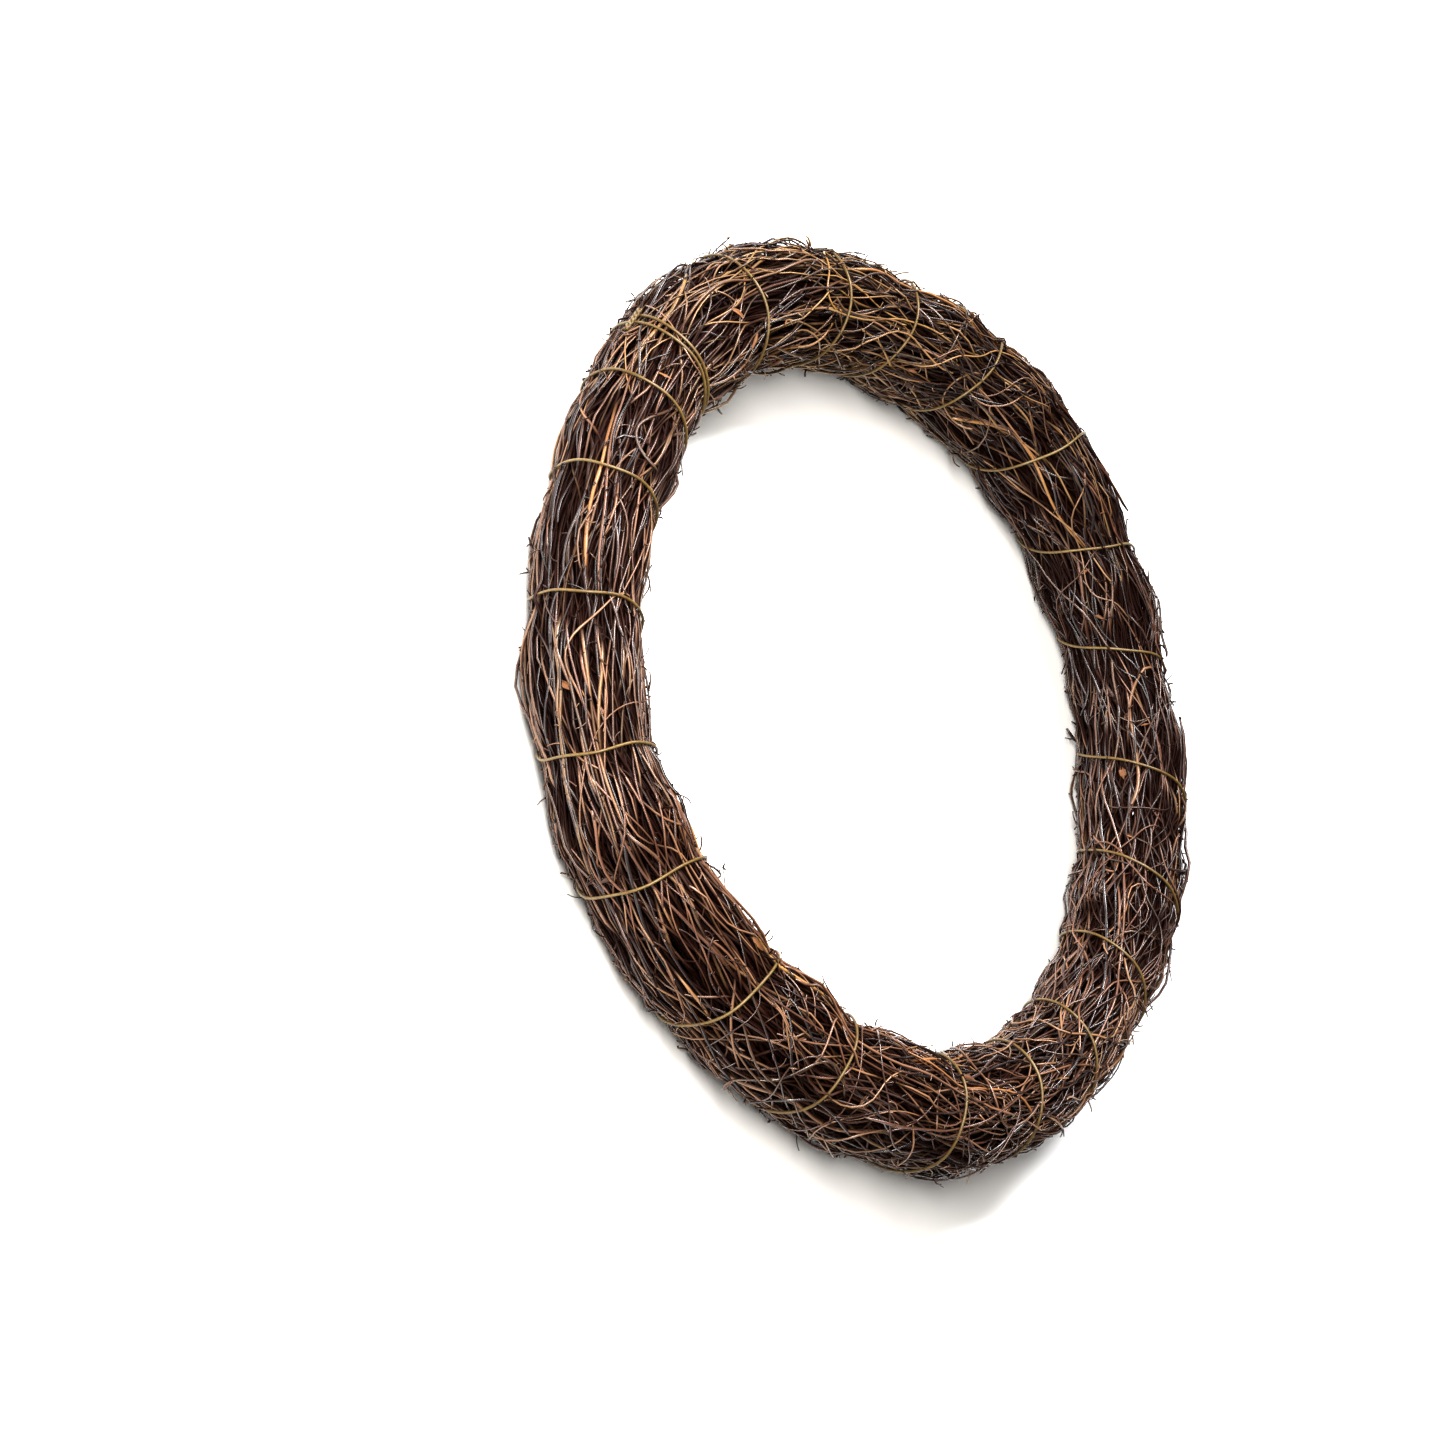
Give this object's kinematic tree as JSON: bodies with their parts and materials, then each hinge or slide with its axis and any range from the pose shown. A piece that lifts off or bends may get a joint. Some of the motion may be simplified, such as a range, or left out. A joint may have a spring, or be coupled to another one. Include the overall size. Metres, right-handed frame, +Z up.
{
  "type": "grapevine wreath",
  "caption": "Ring of fine twisted vine twigs, bound all the way round by a spiral of thin paper-covered wire, open in the middle.",
  "frame": {"origin": "middle of the surface that the wreath lies on, under the middle of its box", "axes": "+Z up, along the ring's axis, on the side of the face that shows; +X and +Y in the ring's plane, to the right and to the top of that face"},
  "size_m": [0.3008, 0.3026, 0.0438],
  "materials": {
    "vine_twigs": "matte",
    "paper_wire": "matte"
  },
  "bodies": {
    "root": {"twig_bunch_01": "vine_twigs", "twig_bunch_02": "vine_twigs", "twig_bunch_03": "vine_twigs", "twig_bunch_04": "vine_twigs", "twig_bunch_05": "vine_twigs", "twig_bunch_06": "vine_twigs", "twig_bunch_07": "vine_twigs", "twig_bunch_08": "vine_twigs", "twig_bunch_09": "vine_twigs", "twig_bunch_10": "vine_twigs", "twig_bunch_11": "vine_twigs", "twig_bunch_12": "vine_twigs", "twig_bunch_13": "vine_twigs", "twig_bunch_14": "vine_twigs", "twig_bunch_15": "vine_twigs", "twig_bunch_16": "vine_twigs", "binding_wire": "paper_wire"}
  },
  "joints": []
}
